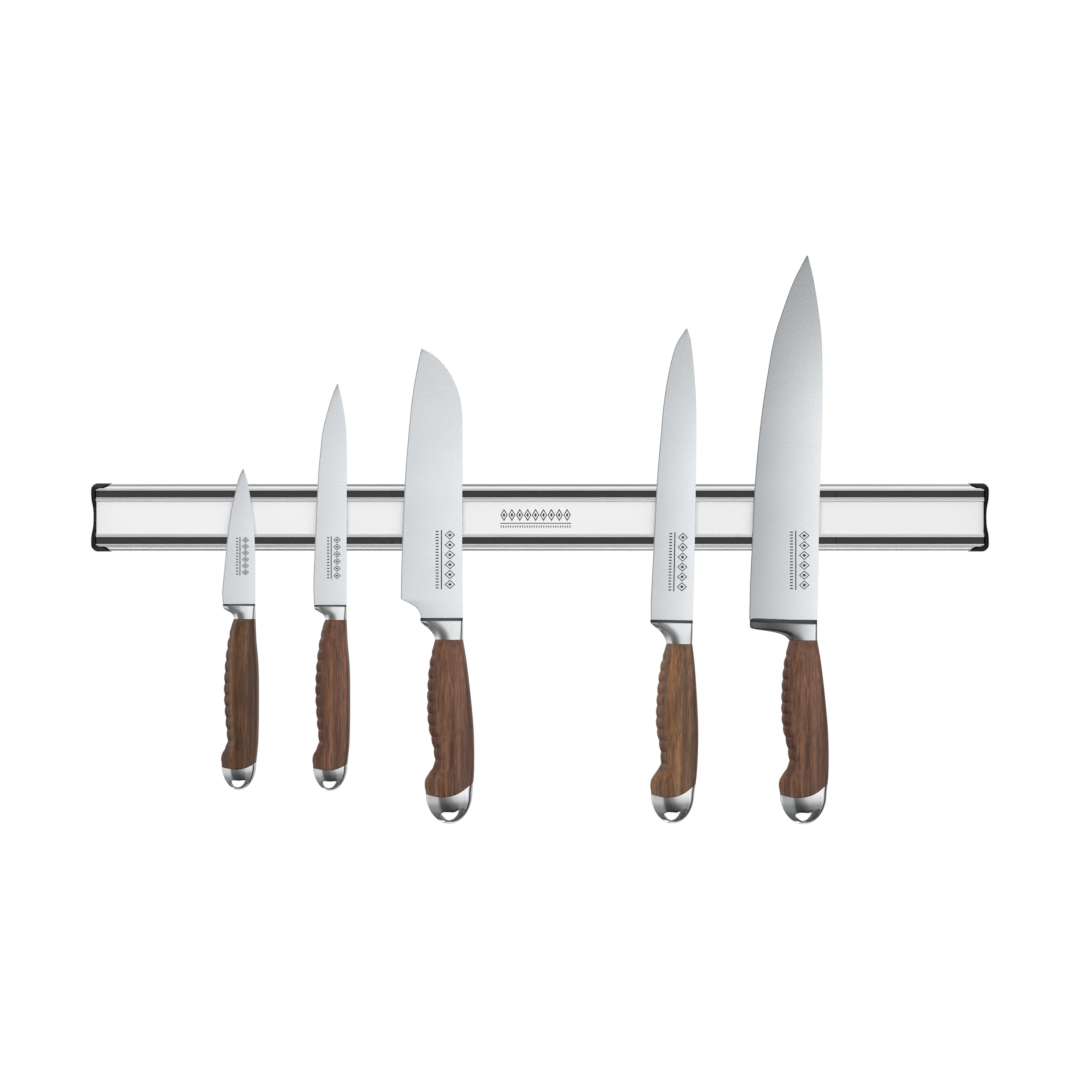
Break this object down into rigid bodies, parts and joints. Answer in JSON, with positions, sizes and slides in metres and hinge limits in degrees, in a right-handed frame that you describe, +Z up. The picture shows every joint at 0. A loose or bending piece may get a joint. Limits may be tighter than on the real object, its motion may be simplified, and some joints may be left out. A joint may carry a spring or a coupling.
{
  "type": "magnetic knife rack",
  "caption": "Wall-mounted magnetic strip with a metal profile and black end caps, holding removable kitchen knives by their blades.",
  "frame": {"origin": "middle of the rack's flat back face, where it meets the wall", "axes": "+X along the rack, to the right seen from the front; +Y into the wall; +Z up"},
  "size_m": [0.606, 0.0275, 0.3832],
  "materials": {
    "extruded_aluminium": "bright drawn aluminium with fine lines along its length",
    "satin_strip": "pale satin, finely brushed along its length",
    "black_plastic": "moulded, low gloss",
    "pole_steel": "bright rolled steel strip with dull edges",
    "ferrite": "dark grey, finely ground",
    "blade_steel": "satin ground stainless steel, fine lines across the blade",
    "polished_steel": "polished stainless steel",
    "walnut": "oiled walnut, grain along the handle",
    "walnut_dark": "oiled dark walnut, grain along the handle",
    "walnut_light": "oiled walnut with pale streaks, grain along the handle"
  },
  "bodies": {
    "rack": {"rack_extrusion": "extruded_aluminium", "cover_strip": "satin_strip", "end_cap_left": "black_plastic", "end_cap_right": "black_plastic", "upper_rail_inner_pole": "pole_steel", "upper_rail_outer_pole": "pole_steel", "lower_rail_inner_pole": "pole_steel", "lower_rail_outer_pole": "pole_steel", "upper_magnet_1": "ferrite", "upper_magnet_2": "ferrite", "upper_magnet_3": "ferrite", "upper_magnet_4": "ferrite", "upper_magnet_5": "ferrite", "upper_magnet_6": "ferrite", "lower_magnet_1": "ferrite", "lower_magnet_2": "ferrite", "lower_magnet_3": "ferrite", "lower_magnet_4": "ferrite", "lower_magnet_5": "ferrite", "lower_magnet_6": "ferrite"},
    "paring_knife": {"paring_blade": "blade_steel", "paring_bolster": "polished_steel", "paring_handle": "walnut_dark", "paring_butt_cap": "polished_steel"},
    "utility_knife": {"utility_blade": "blade_steel", "utility_bolster": "polished_steel", "utility_handle": "walnut", "utility_butt_cap": "polished_steel"},
    "santoku_knife": {"santoku_blade": "blade_steel", "santoku_bolster": "polished_steel", "santoku_handle": "walnut", "santoku_butt_cap": "polished_steel"},
    "slicing_knife": {"slicing_blade": "blade_steel", "slicing_bolster": "polished_steel", "slicing_handle": "walnut_light", "slicing_butt_cap": "polished_steel"},
    "chef_knife": {"chef_blade": "blade_steel", "chef_bolster": "polished_steel", "chef_handle": "walnut", "chef_butt_cap": "polished_steel"}
  },
  "joints": [
    {"name": "paring_lift_off", "type": "slide", "parent": "rack", "child": "paring_knife", "axis": [0, -1, 0], "range_m": [0, 0.1]},
    {"name": "utility_lift_off", "type": "slide", "parent": "rack", "child": "utility_knife", "axis": [0, -1, 0], "range_m": [0, 0.1]},
    {"name": "santoku_lift_off", "type": "slide", "parent": "rack", "child": "santoku_knife", "axis": [0, -1, 0], "range_m": [0, 0.1]},
    {"name": "slicing_lift_off", "type": "slide", "parent": "rack", "child": "slicing_knife", "axis": [0, -1, 0], "range_m": [0, 0.1]},
    {"name": "chef_lift_off", "type": "slide", "parent": "rack", "child": "chef_knife", "axis": [0, -1, 0], "range_m": [0, 0.1]}
  ]
}
